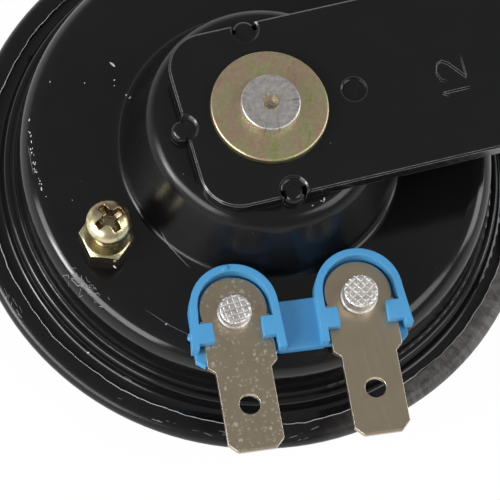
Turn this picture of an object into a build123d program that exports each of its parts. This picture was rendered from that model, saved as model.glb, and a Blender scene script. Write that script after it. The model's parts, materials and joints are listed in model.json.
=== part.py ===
from build123d import *
import math
import os

os.makedirs("parts", exist_ok=True)

# Car horn with a sheet-steel housing, millimetres.
# Origin: the horn's axis, in the plane that the tone disc rests on.
# +Z runs through the horn to the bracket, +X along the bracket's arm,
# and the two terminals point towards -Y.

# ---------------------------------------------------------------- sheet gauges
housing_sheet = 1.0
diaphragm_sheet = 0.5
disc_sheet = 1.0
gasket_thk = 0.4
bracket_thk = 2.0
terminal_thk = 0.8
leaf_thk = 0.3
carrier_thk = 0.8

# ------------------------------------------------------- levels along the axis
disc_dish = 3.55                # tone disc's centre over its outer band
spacer_thk = 1.2
disc_top = disc_dish + disc_sheet
diaphragm_bottom = disc_top + spacer_thk
diaphragm_top = diaphragm_bottom + diaphragm_sheet
flange_bottom = diaphragm_top + gasket_thk
flange_top = flange_bottom + housing_sheet
ridge_h = 2.25                  # ridge and terrace over the flange
wall_rise = 9.15                # flat annulus over the flange
cone_rise = 9.1                 # boss over the annulus
terrace_z = flange_top + ridge_h
annulus_z = flange_top + wall_rise
boss_z = annulus_z + cone_rise
annulus_under = annulus_z - housing_sheet
boss_under = boss_z - housing_sheet
bracket_top = boss_z + bracket_thk

# --------------------------------------------------------------- housing radii
cone_top_r = 13.15              # boss, round the magnet
cone_draft = 3.05
annulus_width = 11.15
wall_draft = 0.6
terrace_width = 1.15
ridge_batter = 0.3
flange_land = 2.8               # flange, from the foot of the ridge to its edge
hem_clear = 0.06                # flange's edge inside the fold
hem_width = 2.4                 # folded rim, from its cut edge to its outside
cone_foot_r = cone_top_r + cone_draft
wall_top_r = cone_foot_r + annulus_width
wall_foot_r = wall_top_r + wall_draft
ridge_r = wall_foot_r + terrace_width
ridge_foot_r = ridge_r + ridge_batter
flange_r = ridge_foot_r + flange_land
hem_bend_r = (housing_sheet + gasket_thk) / 2 + diaphragm_sheet
hem_r = flange_r + hem_clear + hem_bend_r       # outermost, over the folded rim
hem_lip_r = hem_r - hem_width
ridge_foot_fillet = 0.8
ridge_fillet = 0.5
terrace_fillet = 0.4
shoulder_fillet = 2.5
cone_foot_fillet = 1.0
boss_fillet = 2.2
gasket_set = 0.4                # gasket's bore outside the foot of the ridge
gasket_inner_r = ridge_foot_r + gasket_set

# ------------------------------------------- bracket and what staked it in place
bracket_half = 10.7
bracket_near = -9.8             # end over the housing
bracket_corner = 4.4
bracket_edge = 0.2              # rounding of its edges
bolt_x = 52.0                   # bolt hole, centre of the arm's round end
bolt_hole_r = 4.25
bump_r = 1.35                   # bumps of the boss in the bracket's locating holes
bump_wall = 0.4
bump_round = 0.8
bump_clear = 0.13
bump_sink = 0.45                # bump's top below the bracket's top
locating_pcr = 10.0
locating_hole_r = bump_r + bump_clear
bump_h = bracket_thk - bump_sink
washer_r, washer_thk = 6.68, 0.8
neck_r = 3.0
neck_clear = 0.05
stake_lip = 0.37                # staked end over the neck
stake_r, stake_h = neck_r + stake_lip, 1.1
stake_round = 0.2
punch_r, punch_depth = 0.9, 0.35        # punch mark in the staked end
split_width, split_len, split_depth = 0.12, 1.7, 0.2
split_turn = -8                 # degrees, the split in the staked end

# ---------------------------------------------------------------- electromagnet
core_r = 6.0
core_len = 6.0                  # from the boss to the pole face
air_gap = 0.8
armature_clear = 0.4            # armature in the bobbin's bore
core_end = boss_under - core_len
armature_r = core_r - armature_clear
bobbin_wall, bobbin_flange = 0.8, 0.9
bobbin_len = 9.4
bobbin_clear = 0.4              # bobbin's flange to the rounding of the boss
bobbin_bottom = boss_under - bobbin_len
winding_set = 0.3               # winding inside the flanges' edge

# --------------------------------------------------------- terminals and holder
holder_turn = -6.35             # degrees, the holder's own x axis from +X
holder_set = 4.25               # rivets, outside the cone's foot
rivet_out = cone_foot_r + holder_set
seat_set = 0.5                  # seats' round ends, back from the rivets
rivet_left, rivet_right = -6.6, 7.75
terminal_body_half = 3.95
seat_clear = 0.2                # terminal to the U-shaped walls
terminal_head_r = terminal_body_half - 0.15
seat_r = terminal_body_half + seat_clear
wall_thk = 0.85
holder_base = 1.1
holder_clear = 0.1              # holder to the rounding at the cone's foot
wall_h = 2.0
leg_splay = 0.5                 # outer legs lean out by this at their ends
tab_clear = 0.05
tab_reach, tab_len = 1.35, 2.3
tab_out = 1.1                   # tabs' near edge, out from the rivets
leg_out, leg_in = 4.05, 4.95    # ends of the outer and inner legs, from the rivets
floor_out = 4.75                # floors' front edge, from the rivets
foot_in, foot_width, foot_point = 3.7, 1.9, 0.75
web_in, web_lip, web_step = 0.85, 0.1, 0.3
web_root = 0.4                  # web into the seats' walls
gate_r, gate_h = 0.35, 0.12
blade_half = 3.15               # 6.3 mm blade
body_len = 5.95                 # from the rivet to the shoulders
shoulder_len = 0.7
blade_len = 9.45
blade_hole_set = 5.35           # hole's centre, back from the tip
blade_hole_r = 1.2
tip_cut, tip_bevel = 1.05, 0.2
rivet_r = 1.5
rivet_clear = 0.05
rivet_hole_r = rivet_r + rivet_clear
spigot_wall = 0.95
spigot_clear = 0.1
spigot_r = rivet_hole_r + spigot_wall
spigot_hole_r = spigot_r + spigot_clear
head_r_left, head_h_left = 1.8, 1.7
head_r_right, head_h_right = 1.95, 2.35
head_round = 0.25
head_collar, head_collar_h = 0.15, 0.45         # spread foot of the heads
check_pitch, check_groove, check_depth = 0.68, 0.2, 0.18       # checkering of the heads
check_turn_left, check_turn_right = 10, 38
inner_head_r, inner_head_h = 2.3, 0.8

# --------------------------------------------------------------- contact stack
insulator_thk = 1.0
insulator_pad_r = 3.4
insulator_clear = 0.1           # insulator to the rounding of the shoulder
ins_washer_thk = 0.5
stack_r = 3.0                   # pads, spacer and washer round the left rivet
leaf_half = 2.0
tag_thk, tag_half, tag_len = 0.5, 1.2, 6.0
tip_h = 0.5                     # insulating tip under the adjusting screw
lead_r = 0.3
lead_clear = 1.0                # leads, outside the bobbin's flange
contact_d, contact_h = 3.0, 0.6
bush_thk = 2 * contact_h
bush_wall = 0.65
bush_r = rivet_hole_r + bush_wall
contact_reach = 7.0             # contacts' distance from the left rivet
leaf_tip_clear = 0.6            # leaf's tip to the armature
collar_width, collar_thk = 2.0, 1.0
push_gap = 0.2                  # armature's collar below the leaf
screw_set = 5.17                # screw, outside the cone's foot
screw_way = math.radians(-160.94)
screw_x = (cone_foot_r + screw_set) * math.cos(screw_way)
screw_y = (cone_foot_r + screw_set) * math.sin(screw_way)
screw_r = 1.5
screw_clear = 0.25
thread_pitch, thread_depth = 0.5, 0.27
screw_head_r, screw_head_h = 2.6, 2.1
screw_out = 5.3                 # head's underside over the annulus
screw_head_z = annulus_z + screw_out
nut_af, nut_thk = 5.5, 1.8
nut_turn = -20
recess_width, recess_len, recess_depth = 0.9, 3.2, 1.2
recess_core_r = 0.75
recess_turn, recess_taper = 20, 10

# ---------------------------------------------------------------- front clamping
shank_r = 2.5
shank_clear = 0.1
shank_hole_r = shank_r + shank_clear
clamp_r, clamp_thk = 8.0, 1.2
spacer_r = 6.5
tone_disc_r = 26.5
disc_nut_af, disc_nut_thk = 8.0, 2.7
disc_washer_r, disc_washer_thk = 5.0, 0.5
disc_seat_r = 10.0              # flat centre of the tone disc
disc_band = 7.0                 # flat outer band that it rests on

# -------------------------------------------------------- holder's own directions
turn = math.radians(holder_turn)
across = Vector(math.cos(turn), math.sin(turn), 0)
outward = Vector(math.sin(turn), -math.cos(turn), 0)


def holder_plane(z):
    """Plane at height z: local x across the holder, local y back to the axis."""
    return Plane(origin=(0, 0, z), x_dir=across, z_dir=(0, 0, 1))


def rivet_axis(u):
    point = across * u + outward * rivet_out
    return point.X, point.Y


left_x, left_y = rivet_axis(rivet_left)
right_x, right_y = rivet_axis(rivet_right)


def plane_at(x, y, z):
    return Plane(origin=(x, y, z), z_dir=(0, 0, 1))


def radial_plane(x, y, z):
    """Plane at a point, local x towards the horn's axis."""
    return Plane(origin=(x, y, z), x_dir=(-x, -y, 0), z_dir=(0, 0, 1))


def parallel(points, distance):
    """Run of points at a distance to the right of another, mitred at its corners."""
    normals = []
    for (x0, y0), (x1, y1) in zip(points, points[1:]):
        length = math.hypot(x1 - x0, y1 - y0)
        normals.append(((y1 - y0) / length, (x0 - x1) / length))
    normals = [normals[0]] + normals + [normals[-1]]
    moved = []
    for (x, y), (ax, ay), (bx, by) in zip(points, normals, normals[1:]):
        k = distance / (1 + ax * bx + ay * by)
        moved.append((x + (ax + bx) * k, y + (ay + by) * k))
    return moved


def round_off(sketch, corners, radii):
    """Round the sketch's corners that lie at the given points."""
    for corner, radius in zip(corners, radii):
        fillet(sketch.vertices().sort_by_distance(corner)[0], radius=radius)


# =================================================================== housing
# Drawn sheet: boss, cone, flat annulus, round shoulder, steep wall, terrace
# with a ridge at its foot, and the flange that the diaphragm is folded over.
housing_outer = [
    (neck_r + neck_clear, boss_z),
    (cone_top_r, boss_z),
    (cone_foot_r, annulus_z),
    (wall_top_r, annulus_z),
    (wall_foot_r, terrace_z),
    (ridge_r, terrace_z),
    (ridge_foot_r, flange_top),
    (flange_r, flange_top),
]
housing_inner = parallel(housing_outer, housing_sheet)

with BuildPart() as housing:
    with BuildSketch(Plane.XZ) as section:
        with BuildLine():
            Polyline(*housing_outer, *reversed(housing_inner), close=True)
        make_face()
        round_off(
            section,
            housing_outer[1:-1],
            (boss_fillet, cone_foot_fillet, shoulder_fillet, terrace_fillet, ridge_fillet, ridge_foot_fillet),
        )
        round_off(
            section,
            housing_inner[1:-1],
            (
                boss_fillet - housing_sheet,
                cone_foot_fillet + housing_sheet,
                shoulder_fillet - housing_sheet,
                0.85 * housing_sheet,
                0.15 * housing_sheet,
                1.5 * housing_sheet,
            ),
        )
    revolve(axis=Axis.Z)
    # bumps pressed up into the bracket's locating holes
    with BuildSketch(Plane.XY.offset(boss_z)):
        with PolarLocations(locating_pcr, 4):
            Circle(bump_r)
    extrude(amount=bump_h)
    fillet(housing.edges().group_by(Axis.Z)[-1], radius=bump_round)
    with BuildSketch(Plane.XY.offset(boss_under)):
        with PolarLocations(locating_pcr, 4):
            Circle(bump_r - bump_wall)
    extrude(amount=bump_h, mode=Mode.SUBTRACT)
    # holes for the holder's spigots and the adjusting screw
    with BuildSketch(Plane.XY.offset(annulus_under)):
        with Locations((left_x, left_y), (right_x, right_y)):
            Circle(spigot_hole_r)
        with Locations((screw_x, screw_y)):
            Circle(screw_r + screw_clear)
    extrude(amount=housing_sheet, mode=Mode.SUBTRACT)

# ================================================================= diaphragm
# Spring sheet whose rim is folded back over the housing's flange.
bend_x = hem_r - hem_bend_r
bend_z = diaphragm_bottom + hem_bend_r
hem_top = diaphragm_bottom + 2 * hem_bend_r

with BuildPart() as diaphragm:
    with BuildSketch(Plane.XZ):
        with BuildLine():
            Line((shank_hole_r, diaphragm_bottom), (bend_x, diaphragm_bottom))
            ThreePointArc((bend_x, diaphragm_bottom), (hem_r, bend_z), (bend_x, hem_top))
            Polyline((bend_x, hem_top), (hem_lip_r, hem_top), (hem_lip_r, flange_top), (bend_x, flange_top))
            ThreePointArc((bend_x, flange_top), (hem_r - diaphragm_sheet, bend_z), (bend_x, diaphragm_top))
            Polyline((bend_x, diaphragm_top), (shank_hole_r, diaphragm_top), (shank_hole_r, diaphragm_bottom))
        make_face()
    revolve(axis=Axis.Z)

with BuildPart() as gasket:
    with BuildSketch(Plane.XY.offset(diaphragm_top)):
        Circle(flange_r)
        Circle(gasket_inner_r, mode=Mode.SUBTRACT)
    extrude(amount=gasket_thk)

# ================================================================== bracket
with BuildPart() as mounting_bracket:
    with BuildSketch(Plane.XY.offset(boss_z)) as outline:
        with Locations((bracket_near, 0)):
            Rectangle(bolt_x - bracket_near, 2 * bracket_half, align=(Align.MIN, Align.CENTER))
        with Locations((bolt_x, 0)):
            Circle(bracket_half)
        fillet(outline.vertices().group_by(Axis.X)[0], radius=bracket_corner)
        with Locations((bolt_x, 0)):
            Circle(bolt_hole_r, mode=Mode.SUBTRACT)
        Circle(neck_r + neck_clear, mode=Mode.SUBTRACT)
        with PolarLocations(locating_pcr, 4):
            Circle(locating_hole_r, mode=Mode.SUBTRACT)
    extrude(amount=bracket_thk)
    chamfer(
        mounting_bracket.faces().sort_by(Axis.Z)[-1].outer_wire().edges(),
        length=bracket_edge,
    )

with BuildPart() as bracket_washer:
    with BuildSketch(Plane.XY.offset(bracket_top)):
        Circle(washer_r)
        Circle(neck_r + neck_clear, mode=Mode.SUBTRACT)
    extrude(amount=washer_thk)
    fillet(bracket_washer.edges().filter_by(GeomType.CIRCLE).group_by(Axis.Z)[-1].sort_by(SortBy.RADIUS)[-1], radius=0.25)

# ===================================================================== core
# Turned core; its neck is staked over the washer.
stake_z = bracket_top + washer_thk

with BuildPart() as core:
    with BuildSketch(Plane.XZ) as section:
        with BuildLine():
            Polyline(
                (0, core_end),
                (core_r, core_end),
                (core_r, boss_under),
                (neck_r, boss_under),
                (neck_r, stake_z),
                (stake_r, stake_z),
                (stake_r, stake_z + stake_h),
                (punch_r, stake_z + stake_h),
                (punch_r / 3, stake_z + stake_h - punch_depth),
                (0, stake_z + stake_h - punch_depth),
                close=True,
            )
        make_face()
        round_off(section, [(stake_r, stake_z + stake_h), (core_r, core_end)], (stake_round, 0.3))
    revolve(axis=Axis.Z)
    # where the staked end has split
    with BuildSketch(Plane.XY.offset(stake_z + stake_h).rotated((0, 0, split_turn))):
        with Locations((stake_r, 0)):
            Rectangle(2 * split_len, split_width)
    extrude(amount=-split_depth, mode=Mode.SUBTRACT)

# ================================================================ coil, bobbin
boss_turn = math.atan2(cone_rise, cone_draft)
boss_flat_r = housing_inner[1][0] - (boss_fillet - housing_sheet) * math.tan(boss_turn / 2)
bobbin_r = boss_flat_r - bobbin_clear
winding_r = bobbin_r - winding_set

with BuildPart() as coil_bobbin:
    with BuildSketch(Plane.XZ):
        with BuildLine():
            Polyline(
                (core_r, bobbin_bottom),
                (bobbin_r, bobbin_bottom),
                (bobbin_r, bobbin_bottom + bobbin_flange),
                (core_r + bobbin_wall, bobbin_bottom + bobbin_flange),
                (core_r + bobbin_wall, boss_under - bobbin_flange),
                (bobbin_r, boss_under - bobbin_flange),
                (bobbin_r, boss_under),
                (core_r, boss_under),
                close=True,
            )
        make_face()
    revolve(axis=Axis.Z)

with BuildPart() as coil_winding:
    with BuildSketch(Plane.XY.offset(bobbin_bottom + bobbin_flange)):
        Circle(winding_r)
        Circle(core_r + bobbin_wall, mode=Mode.SUBTRACT)
    extrude(amount=boss_under - bobbin_bottom - 2 * bobbin_flange)

# =========================================================== terminal holder
# Moulding with a floor and a U-shaped wall round each terminal, open towards
# the blades, and a web between the two.
wall_r = seat_r + wall_thk
wall_z = annulus_z + holder_base
terminal_top = wall_z + terminal_thk
cone_turn = math.atan2(cone_rise, cone_draft)
cone_foot_out = cone_foot_r + cone_foot_fillet * math.tan(cone_turn / 2)
rivets = ((rivet_left, 1), (rivet_right, -1))      # place, side of its inner leg


def seat_plane(u, z):
    """Plane on a rivet's axis: local x across the holder, local y back to the horn's axis."""
    x, y = rivet_axis(u)
    return Plane(origin=(x, y, z), x_dir=across, z_dir=(0, 0, 1))


with BuildPart() as terminal_holder:
    # floors, each with a pointed foot at its outer corner
    for u, side in rivets:
        with BuildSketch(seat_plane(u, annulus_z)):
            with Locations((0, seat_set)):
                Circle(wall_r)
                Rectangle(2 * wall_r, seat_set + floor_out, align=(Align.CENTER, Align.MAX))
            with BuildLine():
                Polyline(
                    (-side * wall_r, -foot_in),
                    (-side * wall_r, -floor_out),
                    (-side * (wall_r - foot_width / 2), -floor_out - foot_point),
                    (-side * (wall_r - foot_width), -floor_out),
                    (-side * (wall_r - foot_width), -foot_in),
                    close=True,
                )
            make_face()
        extrude(amount=holder_base)
    # web, its front edge eased
    with BuildSketch(seat_plane((rivet_left + rivet_right) / 2, annulus_z)):
        with Locations((0, web_in)):
            Rectangle(
                rivet_right - rivet_left - 2 * wall_r + 2 * web_root,
                web_in + floor_out + web_lip,
                align=(Align.CENTER, Align.MAX),
            )
    extrude(amount=holder_base + web_step)
    # clear of the rounding at the cone's foot
    with BuildSketch(Plane.XY.offset(annulus_z)):
        Circle(cone_foot_out + holder_clear)
    extrude(amount=holder_base, mode=Mode.SUBTRACT)
    # U-shaped walls; the outer legs lean out
    for u, side in rivets:
        with BuildSketch(seat_plane(u, wall_z)):
            with Locations((0, seat_set)):
                Circle(wall_r)
                Circle(seat_r, mode=Mode.SUBTRACT)
                Rectangle(2 * wall_r, wall_r, align=(Align.CENTER, Align.MAX), mode=Mode.SUBTRACT)
            with BuildLine():
                Polyline(
                    (-side * wall_r, seat_set),
                    (-side * (wall_r + leg_splay), -leg_out),
                    (-side * (seat_r + leg_splay), -leg_out),
                    (-side * seat_r, seat_set),
                    close=True,
                )
            make_face()
            with BuildLine():
                Polyline(
                    (side * wall_r, seat_set),
                    (side * (wall_r + leg_splay / 3), -leg_in),
                    (side * (seat_r + leg_splay / 3), -leg_in),
                    (side * seat_r, seat_set),
                    close=True,
                )
            make_face()
        extrude(amount=wall_h)
        # tabs that hold the terminal down
        with BuildSketch(seat_plane(u, terminal_top + tab_clear)):
            with Locations((0, -tab_out)):
                Rectangle(2 * seat_r + wall_thk, tab_len, align=(Align.CENTER, Align.MAX))
                Rectangle(2 * (seat_r - tab_reach), tab_len, align=(Align.CENTER, Align.MAX), mode=Mode.SUBTRACT)
        extrude(amount=wall_h - terminal_thk - tab_clear)
        # spigot through the housing, and the rivet's hole
        with BuildSketch(seat_plane(u, annulus_under)):
            Circle(spigot_r)
        extrude(amount=housing_sheet)
        with BuildSketch(seat_plane(u, annulus_under)):
            Circle(rivet_hole_r)
        extrude(amount=housing_sheet + holder_base, mode=Mode.SUBTRACT)
    # the two broken gates of the moulding
    with BuildSketch(seat_plane(rivet_left, wall_z + wall_h)):
        with Locations((-0.3, seat_set + seat_r + wall_thk / 2)):
            Circle(gate_r)
    extrude(amount=gate_h)
    with BuildSketch(seat_plane(rivet_left, wall_z)):
        with Locations((-wall_r - leg_splay / 2, -leg_out / 2)):
            Circle(gate_r)
    extrude(amount=wall_h / 2)

# ================================================================= terminals
tip_out = body_len + shoulder_len + blade_len


def terminal_outline():
    """Round head under the rivet, body with shoulders, 6.3 mm blade."""
    with Locations((0, seat_set)):
        Circle(terminal_head_r)
    Polygon(
        (-terminal_body_half, seat_set - 1.0),
        (-terminal_body_half, -body_len),
        (-blade_half, -body_len - shoulder_len),
        (-blade_half, -tip_out + tip_cut),
        (-blade_half + tip_cut, -tip_out),
        (blade_half - tip_cut, -tip_out),
        (blade_half, -tip_out + tip_cut),
        (blade_half, -body_len - shoulder_len),
        (terminal_body_half, -body_len),
        (terminal_body_half, seat_set - 1.0),
        align=None,
    )
    Circle(rivet_hole_r, mode=Mode.SUBTRACT)
    with Locations((0, -tip_out + blade_hole_set)):
        Circle(blade_hole_r, mode=Mode.SUBTRACT)


with BuildPart() as terminal_left:
    with BuildSketch(seat_plane(rivet_left, wall_z)):
        terminal_outline()
    extrude(amount=terminal_thk)
    tip = terminal_left.faces().sort_by(Axis((0, 0, 0), outward))[-1]
    chamfer(tip.edges().filter_by(Axis.Z, reverse=True), length=tip_bevel)

with BuildPart() as terminal_right:
    with BuildSketch(seat_plane(rivet_right, wall_z)):
        terminal_outline()
    extrude(amount=terminal_thk)
    tip = terminal_right.faces().sort_by(Axis((0, 0, 0), outward))[-1]
    chamfer(tip.edges().filter_by(Axis.Z, reverse=True), length=tip_bevel)

# ============================================================= contact levels
insulator_under = annulus_under - insulator_thk
leaf_under = insulator_under - leaf_thk
carrier_top = leaf_under - bush_thk
carrier_under = carrier_top - carrier_thk
washer_under = carrier_under - ins_washer_thk
tag_under = insulator_under - tag_thk


# ==================================================================== rivets
def checkering(head_r):
    """Two sets of grooves across a rivet's head."""
    count = int(2 * head_r / check_pitch)
    with GridLocations(check_pitch, 0, count, 1):
        Rectangle(check_groove, 2 * head_r)
    with GridLocations(0, check_pitch, 1, count):
        Rectangle(2 * head_r, check_groove)


with BuildPart() as terminal_rivet_left:
    with BuildSketch(seat_plane(rivet_left, washer_under - inner_head_h)):
        Circle(inner_head_r)
    extrude(amount=inner_head_h)
    with BuildSketch(seat_plane(rivet_left, washer_under)):
        Circle(rivet_r)
    extrude(amount=terminal_top - washer_under)
    with BuildSketch(seat_plane(rivet_left, terminal_top)):
        Circle(head_r_left + head_collar)
    extrude(amount=head_collar_h)
    with BuildSketch(seat_plane(rivet_left, terminal_top)):
        Circle(head_r_left)
    extrude(amount=head_h_left)
    fillet(terminal_rivet_left.edges().group_by(Axis.Z)[-1], radius=head_round)
    with BuildSketch(seat_plane(rivet_left, terminal_top + head_h_left).rotated((0, 0, check_turn_left))):
        checkering(head_r_left)
    extrude(amount=-check_depth, mode=Mode.SUBTRACT)

with BuildPart() as terminal_rivet_right:
    with BuildSketch(seat_plane(rivet_right, tag_under - inner_head_h)):
        Circle(inner_head_r)
    extrude(amount=inner_head_h)
    with BuildSketch(seat_plane(rivet_right, tag_under)):
        Circle(rivet_r)
    extrude(amount=terminal_top - tag_under)
    with BuildSketch(seat_plane(rivet_right, terminal_top)):
        Circle(head_r_right + head_collar)
    extrude(amount=head_collar_h)
    with BuildSketch(seat_plane(rivet_right, terminal_top)):
        Circle(head_r_right)
    extrude(amount=head_h_right)
    fillet(terminal_rivet_right.edges().group_by(Axis.Z)[-1], radius=head_round)
    with BuildSketch(seat_plane(rivet_right, terminal_top + head_h_right).rotated((0, 0, check_turn_right))):
        checkering(head_r_right)
    extrude(amount=-check_depth, mode=Mode.SUBTRACT)

# =========================================================== adjusting screw
screw_end = carrier_top + tip_h

with BuildPart() as adjusting_screw:
    with BuildSketch(plane_at(screw_x, screw_y, screw_end)):
        Circle(screw_r)
    extrude(amount=screw_head_z - screw_end)
    # rings of thread between nut and head
    turns = int((screw_head_z - annulus_z - nut_thk) / thread_pitch)
    for i in range(turns):
        with BuildSketch(plane_at(screw_x, screw_y, annulus_z + nut_thk + (i + 0.25) * thread_pitch)):
            Circle(screw_r + 0.1)
            Circle(screw_r - thread_depth, mode=Mode.SUBTRACT)
        extrude(amount=thread_pitch / 2, mode=Mode.SUBTRACT)
    with BuildSketch(plane_at(screw_x, screw_y, screw_head_z)):
        Circle(screw_head_r)
    extrude(amount=screw_head_h)
    fillet(adjusting_screw.edges().group_by(Axis.Z)[-1], radius=screw_head_h * 0.45)
    with BuildSketch(plane_at(screw_x, screw_y, screw_head_z + screw_head_h)):
        Rectangle(recess_len, recess_width, rotation=recess_turn)
        Rectangle(recess_width, recess_len, rotation=recess_turn)
        Circle(recess_core_r)
    extrude(amount=-recess_depth, taper=recess_taper, mode=Mode.SUBTRACT)

with BuildPart() as screw_tip:
    with BuildSketch(plane_at(screw_x, screw_y, carrier_top)):
        Circle(1.2)
    extrude(amount=screw_end - carrier_top)

with BuildPart() as lock_nut:
    with BuildSketch(plane_at(screw_x, screw_y, annulus_z)):
        RegularPolygon(nut_af / 2, 6, major_radius=False, rotation=nut_turn)
    extrude(amount=nut_thk)
    # corners turned off at 30 degrees
    with Locations((screw_x, screw_y, annulus_z + nut_thk / 2)):
        Cone(nut_af * 0.47 + nut_thk * math.sqrt(3), nut_af * 0.47, nut_thk, mode=Mode.INTERSECT)
    with BuildSketch(plane_at(screw_x, screw_y, annulus_z)):
        Circle(screw_r)
    extrude(amount=nut_thk, mode=Mode.SUBTRACT)

# ============================================================= contact stack
shoulder_turn = math.pi / 2 - math.atan2(wall_draft, annulus_z - terrace_z)
insulator_rim = housing_inner[3][0] - (shoulder_fillet - housing_sheet) * math.tan(shoulder_turn / 2) - insulator_clear

with BuildPart() as inner_insulator:
    with BuildSketch(Plane.XY.offset(insulator_under)):
        with BuildSketch(Plane.XY, mode=Mode.PRIVATE) as pads:
            with Locations((left_x, left_y), (right_x, right_y)):
                Circle(insulator_pad_r)
        make_hull(pads.edges())
        Circle(insulator_rim, mode=Mode.INTERSECT)
        with Locations((left_x, left_y), (right_x, right_y)):
            Circle(rivet_hole_r, mode=Mode.SUBTRACT)
    extrude(amount=insulator_thk)

leaf_reach = math.hypot(left_x, left_y) - armature_r - leaf_tip_clear

with BuildPart() as contact_leaf:
    with BuildSketch(radial_plane(left_x, left_y, leaf_under)):
        Circle(stack_r)
        Rectangle(leaf_reach - leaf_half, 2 * leaf_half, align=(Align.MIN, Align.CENTER))
        with Locations((leaf_reach - leaf_half, 0)):
            Circle(leaf_half)
        Circle(rivet_hole_r, mode=Mode.SUBTRACT)
    extrude(amount=leaf_thk)

with BuildPart() as moving_contact:
    with BuildSketch(radial_plane(left_x, left_y, leaf_under)):
        with Locations((contact_reach, 0)):
            Circle(contact_d / 2)
    extrude(amount=-contact_h)

with BuildPart() as fixed_contact:
    with BuildSketch(radial_plane(left_x, left_y, carrier_top)):
        with Locations((contact_reach, 0)):
            Circle(contact_d / 2)
    extrude(amount=contact_h)

reach = contact_reach / math.hypot(left_x, left_y)
contact_x, contact_y = left_x * (1 - reach), left_y * (1 - reach)

with BuildPart() as contact_carrier:
    with BuildSketch(Plane.XY.offset(carrier_under)):
        with BuildSketch(Plane.XY, mode=Mode.PRIVATE) as lands:
            with Locations((left_x, left_y)):
                Circle(stack_r + 0.2)
            with Locations((contact_x, contact_y)):
                Circle(contact_d / 2 + 0.9)
            with Locations((screw_x, screw_y)):
                Circle(screw_r + 0.7)
        make_hull(lands.edges())
        with Locations((left_x, left_y)):
            Circle(bush_r + rivet_clear, mode=Mode.SUBTRACT)
    extrude(amount=carrier_thk)

with BuildPart() as contact_spacer:
    with BuildSketch(plane_at(left_x, left_y, carrier_top)):
        Circle(stack_r)
    extrude(amount=bush_thk)
    with BuildSketch(plane_at(left_x, left_y, carrier_under)):
        Circle(bush_r)
    extrude(amount=carrier_thk)
    with BuildSketch(plane_at(left_x, left_y, carrier_under)):
        Circle(rivet_hole_r)
    extrude(amount=carrier_thk + bush_thk, mode=Mode.SUBTRACT)

with BuildPart() as insulating_washer:
    with BuildSketch(plane_at(left_x, left_y, washer_under)):
        Circle(stack_r)
        Circle(rivet_hole_r, mode=Mode.SUBTRACT)
    extrude(amount=carrier_under - washer_under)

with BuildPart() as lead_tag:
    with BuildSketch(radial_plane(right_x, right_y, tag_under)):
        Circle(stack_r - 0.2)
        Rectangle(tag_len, 2 * tag_half, align=(Align.MIN, Align.CENTER))
        Circle(rivet_hole_r, mode=Mode.SUBTRACT)
    extrude(amount=tag_thk)

# ================================================================ coil leads
lead_drop = bobbin_r + lead_clear      # where the leads run down past the bobbin
lead_start_z = bobbin_bottom + bobbin_flange + 1.0


def lead_plane(direction):
    """Upright plane through the horn's axis, local x outwards."""
    return Plane(origin=(0, 0, 0), x_dir=direction, z_dir=direction.cross(Vector(0, 0, 1)))


def lead_route(end_r, end_z):
    """From the winding outwards, down past the bobbin and out again."""
    return (winding_r, lead_start_z), (lead_drop, lead_start_z), (lead_drop, end_z), (end_r, end_z)


right_way = Vector(right_x, right_y, 0).normalized()
carrier_way = Vector(contact_x + screw_x, contact_y + screw_y, 0).normalized()

with BuildPart() as coil_lead_start:
    with BuildLine(lead_plane(right_way)) as route:
        FilletPolyline(*lead_route(math.hypot(right_x, right_y) - tag_len + 1.6, tag_under - lead_r), radius=0.7)
    with BuildSketch(Plane(origin=route.line @ 0, z_dir=route.line % 0)):
        Circle(lead_r)
    sweep(path=route.line)

with BuildPart() as coil_lead_finish:
    with BuildLine(lead_plane(carrier_way)) as route:
        FilletPolyline(*lead_route(lead_drop + 4.2, carrier_top + lead_r), radius=0.7)
    with BuildSketch(Plane(origin=route.line @ 0, z_dir=route.line % 0)):
        Circle(lead_r)
    sweep(path=route.line)

# ================================================================== armature
armature_top = core_end - air_gap
collar_top = leaf_under - push_gap
shank_end = 0.25

with BuildPart() as armature:
    with BuildSketch(Plane.XZ) as section:
        with BuildLine():
            Polyline(
                (0, shank_end),
                (shank_r, shank_end),
                (shank_r, diaphragm_top),
                (clamp_r, diaphragm_top),
                (clamp_r, diaphragm_top + clamp_thk),
                (armature_r, diaphragm_top + clamp_thk),
                (armature_r, collar_top - collar_thk),
                (armature_r + collar_width, collar_top - collar_thk),
                (armature_r + collar_width, collar_top),
                (armature_r, collar_top),
                (armature_r, armature_top),
                (0, armature_top),
                close=True,
            )
        make_face()
        round_off(section, [(armature_r, armature_top)], (0.3,))
    revolve(axis=Axis.Z)

# ================================================================ front parts
with BuildPart() as disc_spacer:
    with BuildSketch(Plane.XY.offset(disc_top)):
        Circle(spacer_r)
        Circle(shank_hole_r, mode=Mode.SUBTRACT)
    extrude(amount=spacer_thk)

disc_upper = [
    (shank_hole_r, disc_top),
    (disc_seat_r, disc_top),
    (tone_disc_r - disc_band, disc_sheet),
    (tone_disc_r, disc_sheet),
]
disc_lower = parallel(disc_upper, disc_sheet)

with BuildPart() as tone_disc:
    with BuildSketch(Plane.XZ) as section:
        with BuildLine():
            Polyline(*disc_upper, *reversed(disc_lower), close=True)
        make_face()
        round_off(section, disc_upper[1:-1], (2.5, 1.5))
        round_off(section, disc_lower[1:-1], (1.5, 2.5))
    revolve(axis=Axis.Z)

with BuildPart() as disc_washer:
    with BuildSketch(Plane.XY.offset(disc_dish - disc_washer_thk)):
        Circle(disc_washer_r)
        Circle(shank_hole_r, mode=Mode.SUBTRACT)
    extrude(amount=disc_washer_thk)

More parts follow.
